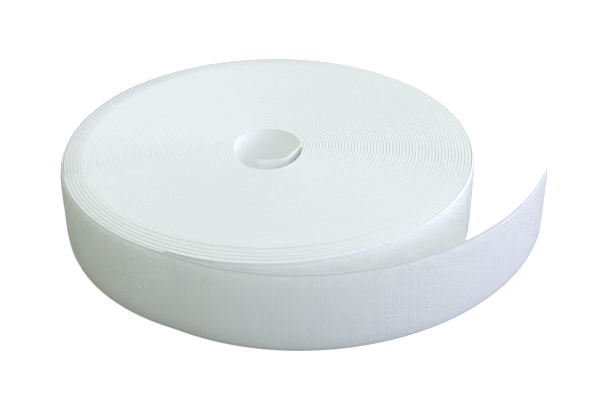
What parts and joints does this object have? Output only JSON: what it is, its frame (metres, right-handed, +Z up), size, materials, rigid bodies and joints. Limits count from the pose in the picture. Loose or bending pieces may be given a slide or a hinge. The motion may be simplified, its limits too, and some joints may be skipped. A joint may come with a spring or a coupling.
{
  "type": "hook tape roll",
  "caption": "Coreless roll of white woven hook tape lying on its edge, with a springy inner end in the hole and a free tail that peels off the roll.",
  "frame": {"origin": "middle of the footprint, on the surface that the roll lies on", "axes": "+Z up along the roll's axis, +X towards the side that the tail sweeps to"},
  "size_m": [0.289, 0.2592, 0.05],
  "materials": {
    "web": "woven, matte",
    "hooks": "cut monofilament hooks in rows"
  },
  "bodies": {
    "roll": {"inner_turns": "web", "middle_turns": "web", "outer_turns": "web", "last_turn_web": "web", "last_turn_hooks": "hooks"},
    "inner_end": {"inner_end_web": "web", "inner_end_hooks": "hooks"},
    "tail_1": {"tail_web_1": "web", "tail_hooks_1": "hooks"},
    "tail_2": {"tail_web_2": "web", "tail_hooks_2": "hooks"},
    "tail_3": {"tail_web_3": "web", "tail_hooks_3": "hooks"},
    "tail_4": {"tail_web_4": "web", "tail_hooks_4": "hooks"},
    "tail_5": {"tail_web_5": "web", "tail_hooks_5": "hooks"}
  },
  "joints": [
    {"name": "inner_end_flex", "type": "hinge", "parent": "roll", "child": "inner_end", "pos_m": [0.00067, 0.00395, 0.025], "axis": [0, 0, 1], "range_deg": [-35, 12], "stiffness_Nm_per_rad": 0.02},
    {"name": "tail_peel", "type": "hinge", "parent": "roll", "child": "tail_1", "pos_m": [-0.07568, -0.10582, 0.025], "axis": [0, 0, 1], "range_deg": [-30, 5], "stiffness_Nm_per_rad": 0.02},
    {"name": "tail_flex_2", "type": "hinge", "parent": "tail_1", "child": "tail_2", "pos_m": [-0.02681, -0.12567, 0.025], "axis": [0, 0, 1], "range_deg": [-15, 2.5], "stiffness_Nm_per_rad": 0.02},
    {"name": "tail_flex_3", "type": "hinge", "parent": "tail_2", "child": "tail_3", "pos_m": [0.02593, -0.12584, 0.025], "axis": [0, 0, 1], "range_deg": [-15, 2.5], "stiffness_Nm_per_rad": 0.02},
    {"name": "tail_flex_4", "type": "hinge", "parent": "tail_3", "child": "tail_4", "pos_m": [0.07526, -0.10708, 0.025], "axis": [0, 0, 1], "range_deg": [-15, 2.5], "stiffness_Nm_per_rad": 0.02},
    {"name": "tail_flex_5", "type": "hinge", "parent": "tail_4", "child": "tail_5", "pos_m": [0.11555, -0.07293, 0.025], "axis": [0, 0, 1], "range_deg": [-15, 2.5], "stiffness_Nm_per_rad": 0.02}
  ],
  "couplings": [
    {"joint": "tail_flex_2", "follows": "tail_peel", "ratio": 0.5},
    {"joint": "tail_flex_3", "follows": "tail_peel", "ratio": 0.5},
    {"joint": "tail_flex_4", "follows": "tail_peel", "ratio": 0.5},
    {"joint": "tail_flex_5", "follows": "tail_peel", "ratio": 0.5}
  ]
}
